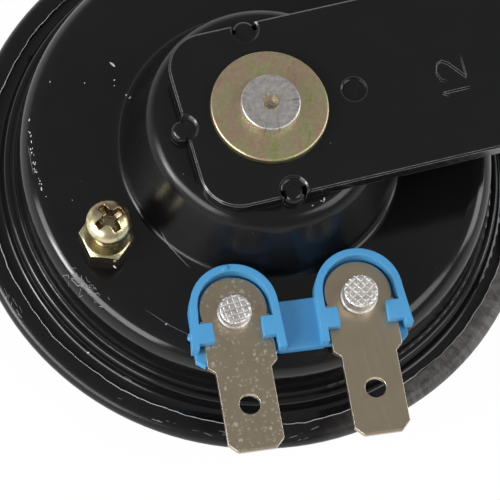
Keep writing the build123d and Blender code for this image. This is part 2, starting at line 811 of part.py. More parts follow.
with BuildPart() as disc_nut:
    with BuildSketch(Plane.XY.offset(disc_dish - disc_washer_thk - disc_nut_thk)):
        RegularPolygon(disc_nut_af / 2, 6, major_radius=False)
    extrude(amount=disc_nut_thk)
    with Locations((0, 0, disc_dish - disc_washer_thk - disc_nut_thk / 2)):
        Cone(disc_nut_af * 0.47, disc_nut_af * 0.47 + disc_nut_thk * math.sqrt(3), disc_nut_thk, mode=Mode.INTERSECT)
    with BuildSketch(Plane.XY.offset(disc_dish - disc_washer_thk - disc_nut_thk)):
        Circle(shank_r)
    extrude(amount=disc_nut_thk, mode=Mode.SUBTRACT)

# ==================================================================== export
housing.part.label = "housing"
export_step(housing.part, "parts/housing.step")
diaphragm.part.label = "diaphragm"
export_step(diaphragm.part, "parts/diaphragm.step")
gasket.part.label = "gasket"
export_step(gasket.part, "parts/gasket.step")
mounting_bracket.part.label = "mounting_bracket"
export_step(mounting_bracket.part, "parts/mounting_bracket.step")
bracket_washer.part.label = "bracket_washer"
export_step(bracket_washer.part, "parts/bracket_washer.step")
core.part.label = "core"
export_step(core.part, "parts/core.step")
coil_bobbin.part.label = "coil_bobbin"
export_step(coil_bobbin.part, "parts/coil_bobbin.step")
coil_winding.part.label = "coil_winding"
export_step(coil_winding.part, "parts/coil_winding.step")
coil_lead_start.part.label = "coil_lead_start"
export_step(coil_lead_start.part, "parts/coil_lead_start.step")
coil_lead_finish.part.label = "coil_lead_finish"
export_step(coil_lead_finish.part, "parts/coil_lead_finish.step")
terminal_holder.part.label = "terminal_holder"
export_step(terminal_holder.part, "parts/terminal_holder.step")
terminal_left.part.label = "terminal_left"
export_step(terminal_left.part, "parts/terminal_left.step")
terminal_right.part.label = "terminal_right"
export_step(terminal_right.part, "parts/terminal_right.step")
terminal_rivet_left.part.label = "terminal_rivet_left"
export_step(terminal_rivet_left.part, "parts/terminal_rivet_left.step")
terminal_rivet_right.part.label = "terminal_rivet_right"
export_step(terminal_rivet_right.part, "parts/terminal_rivet_right.step")
adjusting_screw.part.label = "adjusting_screw"
export_step(adjusting_screw.part, "parts/adjusting_screw.step")
screw_tip.part.label = "screw_tip"
export_step(screw_tip.part, "parts/screw_tip.step")
lock_nut.part.label = "lock_nut"
export_step(lock_nut.part, "parts/lock_nut.step")
inner_insulator.part.label = "inner_insulator"
export_step(inner_insulator.part, "parts/inner_insulator.step")
contact_leaf.part.label = "contact_leaf"
export_step(contact_leaf.part, "parts/contact_leaf.step")
moving_contact.part.label = "moving_contact"
export_step(moving_contact.part, "parts/moving_contact.step")
fixed_contact.part.label = "fixed_contact"
export_step(fixed_contact.part, "parts/fixed_contact.step")
contact_carrier.part.label = "contact_carrier"
export_step(contact_carrier.part, "parts/contact_carrier.step")
contact_spacer.part.label = "contact_spacer"
export_step(contact_spacer.part, "parts/contact_spacer.step")
insulating_washer.part.label = "insulating_washer"
export_step(insulating_washer.part, "parts/insulating_washer.step")
lead_tag.part.label = "lead_tag"
export_step(lead_tag.part, "parts/lead_tag.step")
armature.part.label = "armature"
export_step(armature.part, "parts/armature.step")
disc_spacer.part.label = "disc_spacer"
export_step(disc_spacer.part, "parts/disc_spacer.step")
tone_disc.part.label = "tone_disc"
export_step(tone_disc.part, "parts/tone_disc.step")
disc_washer.part.label = "disc_washer"
export_step(disc_washer.part, "parts/disc_washer.step")
disc_nut.part.label = "disc_nut"
export_step(disc_nut.part, "parts/disc_nut.step")
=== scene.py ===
import bpy
import json
import math
import random
from mathutils import Matrix, Vector
from mathutils.bvhtree import BVHTree


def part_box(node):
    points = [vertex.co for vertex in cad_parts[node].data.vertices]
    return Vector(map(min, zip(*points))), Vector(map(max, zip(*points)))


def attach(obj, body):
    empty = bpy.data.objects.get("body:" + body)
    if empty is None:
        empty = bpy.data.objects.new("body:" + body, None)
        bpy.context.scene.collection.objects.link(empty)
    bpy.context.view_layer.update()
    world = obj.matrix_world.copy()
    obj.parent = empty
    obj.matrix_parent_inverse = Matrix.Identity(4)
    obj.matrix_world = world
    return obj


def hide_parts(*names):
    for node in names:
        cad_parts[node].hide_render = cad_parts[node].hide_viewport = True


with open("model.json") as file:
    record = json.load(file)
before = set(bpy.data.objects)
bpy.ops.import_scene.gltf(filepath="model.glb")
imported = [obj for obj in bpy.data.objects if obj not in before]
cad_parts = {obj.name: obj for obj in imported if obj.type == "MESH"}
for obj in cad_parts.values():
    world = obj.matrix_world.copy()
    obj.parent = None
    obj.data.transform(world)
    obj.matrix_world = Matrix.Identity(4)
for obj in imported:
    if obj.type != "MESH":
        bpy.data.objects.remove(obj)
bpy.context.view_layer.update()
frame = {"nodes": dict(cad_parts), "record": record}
nodes = frame["nodes"]
MM = 0.001

# places of the solids that the paint follows, in millimetres from the frame's origin
holder_turn = math.radians(-6.35)      # the terminals' direction from -Y
hole_distance, hole_r = 10.0, 1.48     # locating holes of the bracket
ridge_r, ridge_foot_r = 29.1, 29.4     # stepped ridge at the foot of the wall
terrace_h, flange_h = 9.9, 7.65
lip_r = 31.06                          # cut edge of the folded rim


# ------------------------------------------------------------ material helper
class Nodes:
    """A node tree, with a short way to add and link its nodes."""

    def __init__(self, tree):
        self.tree = tree

    def node(self, kind, **settings):
        """New node; a setting that starts with in_ is the value of that input."""
        n = self.tree.nodes.new("ShaderNode" + kind)
        for key, value in settings.items():
            if key.startswith("in_"):
                n.inputs[key[3:].replace("_", " ")].default_value = value
            else:
                setattr(n, key, value)
        return n

    def link(self, a, b):
        self.tree.links.new(a, b)

    def feed(self, value, socket):
        """Link a socket, or set a number, vector or colour."""
        if isinstance(value, bpy.types.NodeSocket):
            self.link(value, socket)
        elif isinstance(value, tuple) and socket.type == "RGBA":
            socket.default_value = (*value, 1)
        else:
            socket.default_value = value

    def math(self, op, a, b=0.0):
        m = self.node("Math", operation=op)
        self.feed(a, m.inputs[0])
        self.feed(b, m.inputs[1])
        return m.outputs[0]

    def plus(self, a, b):
        return self.math("ADD", a, b)

    def minus(self, a, b):
        return self.math("SUBTRACT", a, b)

    def times(self, a, b):
        return self.math("MULTIPLY", a, b)

    def vector(self, op, a, b=None, scale=None):
        """Vector maths; a length or a dot product gives a number."""
        m = self.node("VectorMath", operation=op)
        self.feed(a, m.inputs[0])
        if b is not None:
            self.feed(b, m.inputs[1])
        if scale is not None:
            m.inputs["Scale"].default_value = scale
        return m.outputs["Value" if op in ("LENGTH", "DOT_PRODUCT") else "Vector"]

    def split(self, vector):
        """The x, y and z of a vector."""
        part = self.node("SeparateXYZ")
        self.link(vector, part.inputs[0])
        return part.outputs

    def join(self, *values):
        """Vector from its x, y and z; the ones left out are 0."""
        m = self.node("CombineXYZ")
        for value, socket in zip(values, m.inputs):
            self.feed(value, socket)
        return m.outputs[0]


class Shader(Nodes):
    """A node material, laid out over the piece's own places."""

    def __init__(self, name, round_edges=0.0):
        self.mat = bpy.data.materials.new(name)
        self.mat.use_nodes = True
        super().__init__(self.mat.node_tree)
        self.bsdf = self.tree.nodes["Principled BSDF"]
        self.place = self.node("TexCoord").outputs["Object"]
        if round_edges:
            bevel = self.node("Bevel", samples=6, in_Radius=round_edges * MM)
            self.link(bevel.outputs["Normal"], self.bsdf.inputs["Normal"])

    def normal(self):
        return self.node("NewGeometry").outputs["Normal"]

    def stretched(self, scale, turn=0.0):
        """Places scaled along x, y and z after a turn about z."""
        m = self.node("Mapping")
        m.inputs["Rotation"].default_value = (0, 0, turn)
        m.inputs["Scale"].default_value = scale
        self.link(self.place, m.inputs["Vector"])
        return m.outputs["Vector"]

    def polar(self, around, along):
        """Places round the horn's axis, and the distance from it in metres.

        `around` spreads the angle, `along` the distance and height."""
        x, y, z = self.split(self.place)
        flat = self.join(x, y)
        out = self.vector("LENGTH", flat)
        wide = self.vector("SCALE", self.vector("NORMALIZE", flat), scale=around)
        rise = self.join(0.0, 0.0, self.times(self.plus(out, z), along))
        return self.vector("ADD", wide, rise), out

    def noise(self, scale, detail=4.0, rough=0.6, at=None, distort=0.0):
        n = self.node(
            "TexNoise", in_Scale=scale, in_Detail=detail, in_Roughness=rough,
            in_Distortion=distort,
        )
        self.link(at or self.place, n.inputs["Vector"])
        return n.outputs["Fac"]

    def ramp(self, fac, stops):
        """Colour or grey between (place, colour or level) stops."""
        r = self.node("ValToRGB")
        el = r.color_ramp.elements
        while len(el) < len(stops):
            el.new(0.5)
        for e, (at, colour) in zip(el, stops):
            e.position = at
            e.color = (*colour, 1) if isinstance(colour, tuple) else (colour, colour, colour, 1)
        self.link(fac, r.inputs["Fac"])
        return r.outputs["Color"]

    def mix(self, fac, a, b):
        m = self.node("Mix", data_type="RGBA")
        self.feed(fac, m.inputs["Factor"])
        colours = [s for s in m.inputs if s.type == "RGBA"]
        self.feed(a, colours[0])
        self.feed(b, colours[1])
        return [s for s in m.outputs if s.type == "RGBA"][0]

    def specks(self, scale, size, share, wobble=0.0):
        """Spots up to `size` cells wide in a `share` of the cells, ragged by `wobble` mm."""
        at = self.place
        if wobble:
            ragged = self.node("TexNoise", in_Scale=scale * 2.0, in_Detail=3.0)
            self.link(self.place, ragged.inputs["Vector"])
            shift = self.vector("SCALE", ragged.outputs["Color"], scale=wobble * MM)
            at = self.vector("ADD", at, shift)
        cells = self.node("TexVoronoi", in_Scale=scale)
        self.link(at, cells.inputs["Vector"])
        pick = self.node("SeparateColor")
        self.link(cells.outputs["Color"], pick.inputs[0])
        reach = self.times(pick.outputs[1], size)
        near = self.math("LESS_THAN", cells.outputs["Distance"], reach)
        return self.times(near, self.math("GREATER_THAN", pick.outputs[0], 1 - share))

    def edges(self, width, low=0.04, high=0.25):
        """1 on edges and corners, within `width` millimetres of them."""
        bevel = self.node("Bevel", samples=8, in_Radius=width * MM)
        turn = self.vector("DOT_PRODUCT", bevel.outputs["Normal"], self.normal())
        return self.ramp(self.minus(1.0, turn), [(low, 0.0), (high, 1.0)])

    def facing(self, way, away=0.15):
        """1 where the surface looks towards `way`, down to `away` where it doesn't."""
        turn = self.vector("DOT_PRODUCT", self.normal(), way)
        return self.ramp(turn, [(0.0, away), (0.5, 1.0)])

    def clear_of_holes(self, clear, low, rest=0.2):
        """1 above the height `low` and `clear` mm off the locating holes, `rest` elsewhere."""
        x, y, z = self.split(self.place)
        wide, deep = self.math("ABSOLUTE", x), self.math("ABSOLUTE", y)
        far = self.minus(self.math("MAXIMUM", wide, deep), hole_distance * MM)
        near = self.math("MINIMUM", wide, deep)
        gap = self.math("SQRT", self.plus(self.times(far, far), self.times(near, near)))
        off = self.math("GREATER_THAN", gap, clear * MM)
        high = self.math("GREATER_THAN", z, low * MM)
        return self.math("MAXIMUM", self.times(off, high), rest)

    def bump(self, height, distance, strength=1.0):
        """Bump in millimetres, over whatever bends the normal already."""
        b = self.node("Bump", in_Strength=strength, in_Distance=distance * MM)
        self.link(height, b.inputs["Height"])
        before = self.bsdf.inputs["Normal"].links
        if before:
            self.link(before[0].from_socket, b.inputs["Normal"])
        self.link(b.outputs["Normal"], self.bsdf.inputs["Normal"])

    def set(self, **values):
        """Inputs of the Principled BSDF."""
        for key, value in values.items():
            self.feed(value, self.bsdf.inputs[key.replace("_", " ")])


# ------------------------------------------------------------------ materials
def black_enamel(name, edge_round=0.12, rubbed_and_lit=False):
    """Gloss black paint; with the flag set, a piece shows bared metal and a painted highlight
    along the upper edges of its near side.
    """
    s = Shader(name, round_edges=edge_round)
    drawn, out = s.polar(9, 60)                # draw marks run down the pressing
    streaks = s.noise(1.0, 5, 0.7, at=drawn)
    cloud = s.noise(140, 5, 0.65)
    dust = s.specks(900, 0.07, 0.06)
    base = s.mix(cloud, (0.0035, 0.0035, 0.0042), (0.0070, 0.0068, 0.0072))
    base = s.mix(s.times(dust, 0.6), base, (0.16, 0.16, 0.17))
    rough = s.plus(s.times(streaks, 0.14), s.times(s.noise(320, 4), 0.14))
    gloss = 0.36
    if rubbed_and_lit:
        lit_near_side, upper_face, hole_rim_r = (-0.55, -0.80, 0.2), 27.35, 1.95
        # painted highlight over bared metal: the near side's upper edges turn light grey
        rub_and_highlight = s.times(s.edges(0.26, 0.02, 0.12), s.times(s.noise(900, 4, 0.7), 1.3))
        rub_and_highlight = s.times(rub_and_highlight, s.facing(lit_near_side))
        rub_and_highlight = s.times(rub_and_highlight, s.clear_of_holes(hole_rim_r, upper_face))
        base = s.mix(rub_and_highlight, base, (0.55, 0.54, 0.52))
    else:
        # the drawn cone, 12 to 17 mm from the axis, is duller than the flats
        on_cone = [(0.24, 0.0), (0.27, 1.0), (0.32, 1.0), (0.335, 0.0)]
        cone = s.times(s.ramp(s.times(out, 20.0), on_cone), 0.13)
        rough = s.plus(rough, cone)
        gloss = s.minus(gloss, s.times(cone, 0.9))
    s.set(
        Base_Color=base,
        Roughness=s.plus(rough, s.times(dust, 0.3)),
        Specular_IOR_Level=gloss,
    )
    s.bump(s.noise(550, 2, 0.5), 0.006, 0.5)
    s.bump(streaks, 0.006, 0.35)
    return s.mat


def worn_enamel():
    """The folded rim: the same paint, dulled and worn, with a painted brown-grey sheen along one
    side.
    """
    s = Shader("rim_enamel", round_edges=0.12)
    around, _ = s.polar(7, 40)
    streaks = s.noise(1.0, 5, 0.7, at=around)
    # painted sheen over worn paint: the side towards +X and -Y turns brown-grey
    rubbed_lit_side = (0.80, -0.60, 0.0)
    side = s.vector("DOT_PRODUCT", s.place, rubbed_lit_side)
    rubbed_and_lit = s.ramp(s.times(side, 30.0), [(0.55, 0.0), (0.95, 1.0)])
    fine, _ = s.polar(40, 900)
    scoured = s.ramp(s.noise(1.0, 5, 0.75, at=fine), [(0.38, 0.45), (0.62, 1.35)])
    patchy = s.times(s.times(rubbed_and_lit, scoured), s.plus(0.5, s.times(streaks, 0.6)))
    cloud = s.noise(150, 5, 0.65)
    base = s.mix(cloud, (0.004, 0.004, 0.0045), (0.010, 0.0095, 0.0095))
    rough = s.plus(0.16, s.times(s.noise(260, 4), 0.22))
    s.set(
        Base_Color=s.mix(patchy, base, (0.15, 0.138, 0.135)),
        Roughness=s.plus(rough, s.times(rubbed_and_lit, 0.2)),
        Specular_IOR_Level=0.3,
    )
    s.bump(s.noise(500, 3, 0.5), 0.02, 0.5)
    s.bump(streaks, 0.03, 0.4)
    return s.mat


def chromated_zinc(name, tones, rough, tone_size, edges=0.1, with_painted_shade=None):
    """Yellow chromate over zinc: its tint wanders between several tones.

    An optional function takes the shader and its colour, and gives the colour to use; the screw's
    head gets its painted shade this way."""
    s = Shader(name, round_edges=edges)
    blotches = s.noise(tone_size, 6, 0.68, distort=0.8)
    tint = s.ramp(blotches, list(zip((0.34, 0.43, 0.5, 0.57, 0.66), tones)))
    stain = s.specks(1400, 0.16, 0.16, wobble=0.4)
    fine = s.noise(2600, 4, 0.7)
    grain = s.ramp(fine, [(0.45, 0.0), (0.7, 1.0)])
    tint = s.mix(s.times(grain, 0.5), tint, (0.62, 0.50, 0.34))
    # painted highlight: the edges lighter, near white
    tint = s.mix(s.times(s.edges(0.13), 0.65), tint, (0.86, 0.84, 0.70))
    colour = s.mix(s.times(stain, 0.4), tint, (0.16, 0.12, 0.07))
    s.set(
        Base_Color=with_painted_shade(s, colour) if with_painted_shade else colour,
        Metallic=1.0,
        Roughness=s.plus(rough - 0.1, s.times(fine, 0.2)),
    )
    s.bump(fine, 0.01, 0.6)
    s.bump(s.noise(420, 3), 0.02, 0.3)
    return s.mat


def staked_steel():
    """The core: turned steel, its staked end hammered and split at the rim."""
    s = Shader("staked_steel", round_edges=0.08)
    rays, out = s.polar(14, 120)
    split = s.ramp(s.noise(1.0, 5, 0.75, at=rays), [(0.36, 0.0), (0.44, 1.0)])
    rim = s.math("GREATER_THAN", out, 2.5 * MM)
    grain = s.noise(1900, 4, 0.7)
    base = s.ramp(grain, [(0.3, (0.47, 0.445, 0.43)), (0.7, (0.70, 0.665, 0.64))])
    marks = s.times(rim, s.minus(1.0, split))
    base = s.mix(s.times(marks, 0.7), base, (0.10, 0.09, 0.09))
    ragged = s.plus(out, s.times(s.minus(s.noise(2200, 4), 0.5), 0.7 * MM))
    punched = s.math("LESS_THAN", ragged, 0.95 * MM)
    base = s.mix(s.times(punched, 0.85), base, (0.24, 0.185, 0.10))
    rough = s.plus(0.32, s.times(grain, 0.2))
    s.set(Base_Color=base, Metallic=1.0, Roughness=s.plus(rough, s.times(punched, 0.25)))
    s.bump(grain, 0.02, 0.7)
    s.bump(s.times(punched, s.noise(2600, 3)), 0.12, 1.0)
    return s.mat


def plated_blade(name, spotted):
    """Plated strip, its grain along the blade; one of the two has come out spotted."""
    s = Shader(name, round_edges=0.1)
    grain = s.noise(1.0, 4, 0.6, at=s.stretched((2600, 150, 400), -holder_turn))
    cloud = s.noise(260, 4)
    base = s.mix(cloud, (0.44, 0.365, 0.26), (0.56, 0.47, 0.345))
    warm = s.ramp(s.noise(420, 3, distort=0.5), [(0.62, 0.0), (0.75, 1.0)])
    base = s.mix(s.times(warm, 0.35), base, (0.45, 0.24, 0.10))
    rough = s.plus(0.24, s.times(grain, 0.16))
    if spotted:
        fine_spots = s.times(s.specks(2900, 0.55, 0.5, wobble=0.3), 0.26)
        large_spots = s.times(s.specks(1600, 0.42, 0.28, wobble=0.5), 0.42)
        spots = s.math("MAXIMUM", fine_spots, large_spots)
        base = s.mix(spots, base, (0.90, 0.84, 0.72))
        rough = s.plus(rough, s.times(spots, 0.3))
        s.bump(spots, 0.015, 0.4)
    # the punched edges are lighter: a painted reflection of the pale surroundings
    edge_reflection = s.times(s.edges(0.15), s.plus(0.45, s.noise(700, 3)))
    s.set(
        Base_Color=s.mix(edge_reflection, base, (0.95, 0.88, 0.74)),
        Metallic=1.0,
        Roughness=rough,
    )
    s.bump(grain, 0.006, 0.5)
    return s.mat


def crushed_steel():
    """The rivets' heads, with a painted highlight on the edges of their checkering."""
    s = Shader("rivet_steel", round_edges=0.1)
    dent = s.noise(1300, 4, 0.65)
    face = s.ramp(dent, [(0.3, (0.60, 0.57, 0.55)), (0.6, (0.92, 0.89, 0.86))])
    # painted highlight: the checkering's edges near white
    s.set(
        Base_Color=s.mix(s.edges(0.07), face, (0.98, 0.96, 0.94)),
        Metallic=1.0,
        Roughness=s.plus(0.30, s.times(dent, 0.2)),
    )
    s.bump(dent, 0.025, 1.0)
    return s.mat


def bright_steel(name, colour, rough=0.3):
    """Bare metal with the fine rings that turning leaves."""
    s = Shader(name, round_edges=0.1)
    grain = s.noise(1500, 4)
    turned = s.noise(1.0, 3, 0.6, at=s.stretched((60, 60, 5200)))
    s.set(
        Base_Color=s.mix(grain, tuple(0.8 * c for c in colour), colour),
        Metallic=1.0,
        Roughness=s.plus(rough - 0.08, s.times(turned, 0.16)),
    )
    s.bump(turned, 0.008, 0.6)
    return s.mat


def blue_moulding():
    """The terminal holder: slightly cloudy, with flow marks along the terminals."""
    s = Shader("blue_moulding", round_edges=0.16)
    cloud = s.noise(180, 4, 0.6)
    flow = s.noise(1.0, 3, 0.5, at=s.stretched((500, 120, 700), -holder_turn))
    s.set(
        Base_Color=s.mix(cloud, (0.053, 0.255, 0.505), (0.082, 0.325, 0.60)),
        Roughness=s.plus(0.26, s.times(flow, 0.2)),
        Subsurface_Weight=0.12,
        Subsurface_Scale=0.6 * MM,
    )
    s.bump(flow, 0.02, 0.4)
    s.bump(s.noise(2400, 3), 0.006, 0.5)
    return s.mat


def plain_moulding(name, colour, rough=0.5, grain=900):
    """Dull plastic, rubber or fibre of one colour."""
    s = Shader(name, round_edges=0.1)
    fine = s.noise(grain, 4, 0.6)
    s.set(
        Base_Color=s.mix(fine, tuple(0.8 * c for c in colour), colour),
        Roughness=s.plus(rough - 0.1, s.times(fine, 0.2)),
    )
    s.bump(fine, 0.03, 0.5)
    return s.mat


def copper_turns():
    """Layers of enamelled wire, as waves up the winding, with painted shade between the turns."""
    s = Shader("copper_wire")
    wave = s.node("TexWave", bands_direction="Z", in_Scale=180.0, in_Distortion=0.3)
    s.link(s.place, wave.inputs["Vector"])
    layers = wave.outputs["Fac"]
    # painted shade: dark in the grooves between the turns
    s.set(
        Base_Color=s.ramp(layers, [(0.0, (0.16, 0.05, 0.02)), (0.6, (0.62, 0.26, 0.11))]),
        Metallic=0.9,
        Roughness=0.3,
    )
    s.bump(layers, 0.15, 0.8)
    return s.mat


def scuff_and_highlight(name, low, high, rough=0.5):
    """Bared or chipped paint, and the painted highlight on the stamp's lips, mottled between two
    greys.
    """
    s = Shader(name)
    fine = s.noise(3000, 4, 0.7)
    s.set(Base_Color=s.mix(fine, low, high), Roughness=rough)
    s.bump(fine, 0.02, 0.8)
    return s.mat


washer_tones = [
    (0.38, 0.42, 0.16), (0.50, 0.46, 0.26), (0.47, 0.41, 0.26), (0.56, 0.39, 0.27),
    (0.46, 0.35, 0.27),
]
screw_tones = [
    (0.40, 0.28, 0.17), (0.62, 0.54, 0.30), (0.78, 0.71, 0.46), (0.55, 0.53, 0.29),
    (0.42, 0.29, 0.19),
]
materials = {
    "black_paint": black_enamel("black_enamel", edge_round=0.1),
    "disc_paint": black_enamel("disc_enamel"),
    "zinc_yellow": chromated_zinc("zinc_yellow_coat", washer_tones, 0.42, 470),
    "screw_zinc": chromated_zinc("screw_zinc_coat", screw_tones, 0.24, 420, edges=0.15),
    "bare_steel": staked_steel(),
    "blue_plastic": blue_moulding(),
    "terminal_nickel_left": plated_blade("nickel_spotted", True),
    "terminal_nickel_right": plated_blade("nickel_clean", False),
    "rivet_steel": crushed_steel(),
    "bobbin_plastic": plain_moulding("bobbin_nylon", (0.6, 0.58, 0.5)),
    "copper": copper_turns(),
    "fibre_board": plain_moulding("fibre", (0.25, 0.14, 0.07), 0.7, 1800),
    "spring_brass": bright_steel("spring_strip", (0.7, 0.5, 0.22)),
    "contact_metal": bright_steel("contact_point", (0.4, 0.4, 0.42), 0.4),
    "gasket_rubber": plain_moulding("gasket_sheet", (0.02, 0.02, 0.02), 0.7),
}
own_paint = {
    "diaphragm": worn_enamel(),
    "mounting_bracket": black_enamel("bracket_enamel", edge_round=0.05, rubbed_and_lit=True),
}
slot_of = {p["node"]: p["material_slot"] for p in frame["record"]["subparts"]}
rounded_pressings = ("housing", "diaphragm", "tone_disc")
pressing_angle, other_angle = 60, 32       # degrees; sharper edges stay sharp
for name, obj in nodes.items():
    obj.data.materials.clear()
    obj.data.materials.append(own_paint.get(name) or materials[slot_of[name]])
    obj.data.polygons.foreach_set("use_smooth", [True] * len(obj.data.polygons))
    sharp_over = pressing_angle if name in rounded_pressings else other_angle
    obj.data.set_sharp_from_angle(angle=math.radians(sharp_over))
    if name in rounded_pressings:          # even shading over the fillets' long thin faces
        even = obj.modifiers.new("even_shading", "WEIGHTED_NORMAL")
        even.mode = "FACE_AREA_WITH_ANGLE"
        even.keep_sharp = True


# -------------------------------------------------------------- added pieces
def polar(r, degrees):
    """Point at the distance r from the axis, `degrees` from +X."""
    return r * math.cos(math.radians(degrees)), r * math.sin(math.radians(degrees))


def round_point(r, a, z, centre=(0, 0)):
    """Point in metres, `r` and the angle `a` (radians) from a centre, in millimetres."""
    return (centre[0] + r * math.cos(a)) * MM, (centre[1] + r * math.sin(a)) * MM, z * MM


def band(n, sections, first=0, closed=True):
    """Faces that join each section, a loop of n points, to the next one."""
    faces = []
    for i in range(sections if closed else sections - 1):
        a, b = first + n * i, first + n * ((i + 1) % sections)
        faces += [(a + k, a + (k + 1) % n, b + (k + 1) % n, b + k) for k in range(n)]
    return faces


def add_piece(name, points, faces, material, slot="black_paint", sharp_over=None):
    """New piece on the housing's side; with `sharp_over` (degrees), its faces are smooth."""
    mesh = bpy.data.meshes.new(name)
    mesh.from_pydata(points, [], faces)
    mesh.validate()
    if sharp_over:
        mesh.polygons.foreach_set("use_smooth", [True] * len(mesh.polygons))
        mesh.set_sharp_from_angle(angle=math.radians(sharp_over))
    mesh.materials.append(material)
    obj = bpy.data.objects.new(name, mesh)
    bpy.context.scene.collection.objects.link(obj)
    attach(obj, "housing_side")
    return obj


# --------------------------------------------------------- marks on the paint
ridge_paint_from, ridge_paint_to, ridge_paint_thk = 28.45, 30.65, 0.035


class Marks:
    """Thin patches that lie on the painted pieces under them; sizes in millimetres."""

    ray_from = 0.1                     # metres, above the horn
    flake_corners = 9
    scratch_step = 0.15

    def __init__(self, name, on, lift=0.012):
        self.name = name
        self.lift = lift * MM
        self.verts, self.faces = [], []
        points, faces = [], []
        for n in on:
            mesh, start = nodes[n].data, len(points)
            points += [v.co.copy() for v in mesh.vertices]
            faces += [[start + i for i in p.vertices] for p in mesh.polygons]
        self.tree = BVHTree.FromPolygons(points, faces)

    def drop(self, x, y):
        """Number of a new point on the surface under x, y, over the ridge's paint if there."""
        above = Vector((x * MM, y * MM, self.ray_from))
        hit, normal, _, _ = self.tree.ray_cast(above, Vector((0, 0, -1)))
        on_ridge = ridge_paint_from < math.hypot(x, y) < ridge_paint_to
        self.verts.append(hit + normal * (self.lift + (ridge_paint_thk * MM if on_ridge else 0)))
        return len(self.verts) - 1

    def flake(self, x, y, size, lean, turn):
        """Ragged patch, `lean` times as long as wide."""
        ring = []
        for i in range(self.flake_corners):
            a = math.tau * i / self.flake_corners
            k = size / 2 * rng.uniform(0.55, 1.0)
            u, v = k * lean * math.cos(a), k * math.sin(a)
            ring.append(self.drop(
                x + u * math.cos(turn) - v * math.sin(turn),
                y + u * math.sin(turn) + v * math.cos(turn),
            ))
        self.faces.append(ring)

    def line(self, points, width):
        """Scratch along points, thinner at its ends."""
        fine = []
        for (x0, y0), (x1, y1) in zip(points, points[1:]):
            steps = max(2, int(math.hypot(x1 - x0, y1 - y0) / self.scratch_step))
            fine += [
                (x0 + (x1 - x0) * k / steps, y0 + (y1 - y0) * k / steps)
                for k in range(steps)
            ]
        fine.append(points[-1])
        pairs = []
        for i, (x, y) in enumerate(fine):
            ax, ay = fine[max(0, i - 1)]
            bx, by = fine[min(len(fine) - 1, i + 1)]
            long = math.hypot(bx - ax, by - ay)
            along = i / (len(fine) - 1)
            taper = min(1, 0.25 + 5 * along * (1 - along))
            half = width / 2 * taper * rng.uniform(0.6, 1.2)
            nx, ny = -(by - ay) / long * half, (bx - ax) / long * half
            pairs.append((self.drop(x + nx, y + ny), self.drop(x - nx, y - ny)))
        for (a, b), (c, d) in zip(pairs, pairs[1:]):
            self.faces.append([a, b, d, c])

    def build(self, material):
        add_piece(self.name, self.verts, self.faces, material)


rng = random.Random(11)
chips = Marks("paint_chips", ["housing", "diaphragm"])
# single chips: distance from the axis, angle, size, length over width, turn
for r, way, size, lean, turn in (
    (19.5, 135, 0.28, 4.0, -55), (18.4, 140, 0.20, 1.4, 60), (18.1, 142, 0.18, 1.0, 0),
    (16.4, 144, 0.16, 1.6, 20), (21.4, 145, 0.16, 1.0, 0), (15.8, 146, 0.22, 1.2, 10),
    (24.5, -131.5, 0.26, 1.3, 40), (25.2, 148, 0.16, 1.8, 80), (29.6, -145.6, 0.24, 1.2, 20),
    (22.7, -176.5, 0.12, 1.0, 0), (9.1, -142.5, 0.16, 1.2, 40), (22.6, -152.7, 0.24, 2.6, -60),
):
    chips.flake(*polar(r, way), size, lean, math.radians(turn))
# row of chips where the shoulder meets the flat
for i in range(24):
    way = rng.gauss(172, 5.5)
    r = 26.3 - 0.05 * (way - 165) + rng.gauss(0, 0.10)
    size, lean = rng.uniform(0.08, 0.21), rng.uniform(1.2, 3.2)
    chips.flake(*polar(r, way), size, lean, math.radians(way + rng.gauss(90, 18)))
# specks on the boss's rounding, under the bracket's edge
for i in range(7):
    r, way = rng.gauss(11.8, 0.07), rng.uniform(-81, -72)
    size, lean = rng.uniform(0.08, 0.14), rng.uniform(1.2, 2.6)
    chips.flake(*polar(r, way), size, lean, math.radians(rng.uniform(-10, 40)))
chips.build(scuff_and_highlight("chipped_enamel", (0.35, 0.34, 0.34), (0.75, 0.74, 0.72)))

scratches = Marks("paint_scratches", ["housing", "diaphragm"])
# tangle of scratches on the shoulder's inner line, left of the terminals
for i in range(30):
    way = rng.uniform(-160, -147)
    r = 26.5 - 0.04 * (way + 154) + rng.gauss(0, 0.3)
    bend = rng.uniform(-0.4, 0.4)
    go = rng.uniform(0.6, 2.6) * rng.choice((-1, 1))
    end = polar(r + rng.uniform(-0.5, 0.4), way + go)
    scratches.line([polar(r, way), polar(r + bend, way + go * 0.4), end], rng.uniform(0.04, 0.11))
# long fine ones on the flat, one on the far shoulder: two ends, width
long_steps = 8
for r0, w0, r1, w1, width in (
    (24.2, -138, 24.8, -118, 0.07), (15.9, -151, 17.2, -133, 0.10),
    (17.6, -128, 18.1, -104, 0.07), (26.5, 166, 26.2, 174, 0.05),
):
    path = []
    for k in range(long_steps + 1):
        r = r0 + (r1 - r0) * k / long_steps + rng.gauss(0, 0.03)
        path.append(polar(r, w0 + (w1 - w0) * k / long_steps))
    scratches.line(path, width)
# scuffs on the folded rim
for i in range(40):
    way = rng.choice((rng.gauss(-164, 2.5), rng.uniform(-140, -90), rng.uniform(-60, -20)))
    r = rng.uniform(32.0, 33.1)
    end = polar(r + rng.uniform(-0.25, 0.25), way + rng.uniform(0.5, 2.5))
    scratches.line([polar(r, way), end], rng.uniform(0.04, 0.14))
scratches.build(scuff_and_highlight("scuffed_enamel", (0.05, 0.05, 0.052), (0.20, 0.195, 0.19)))

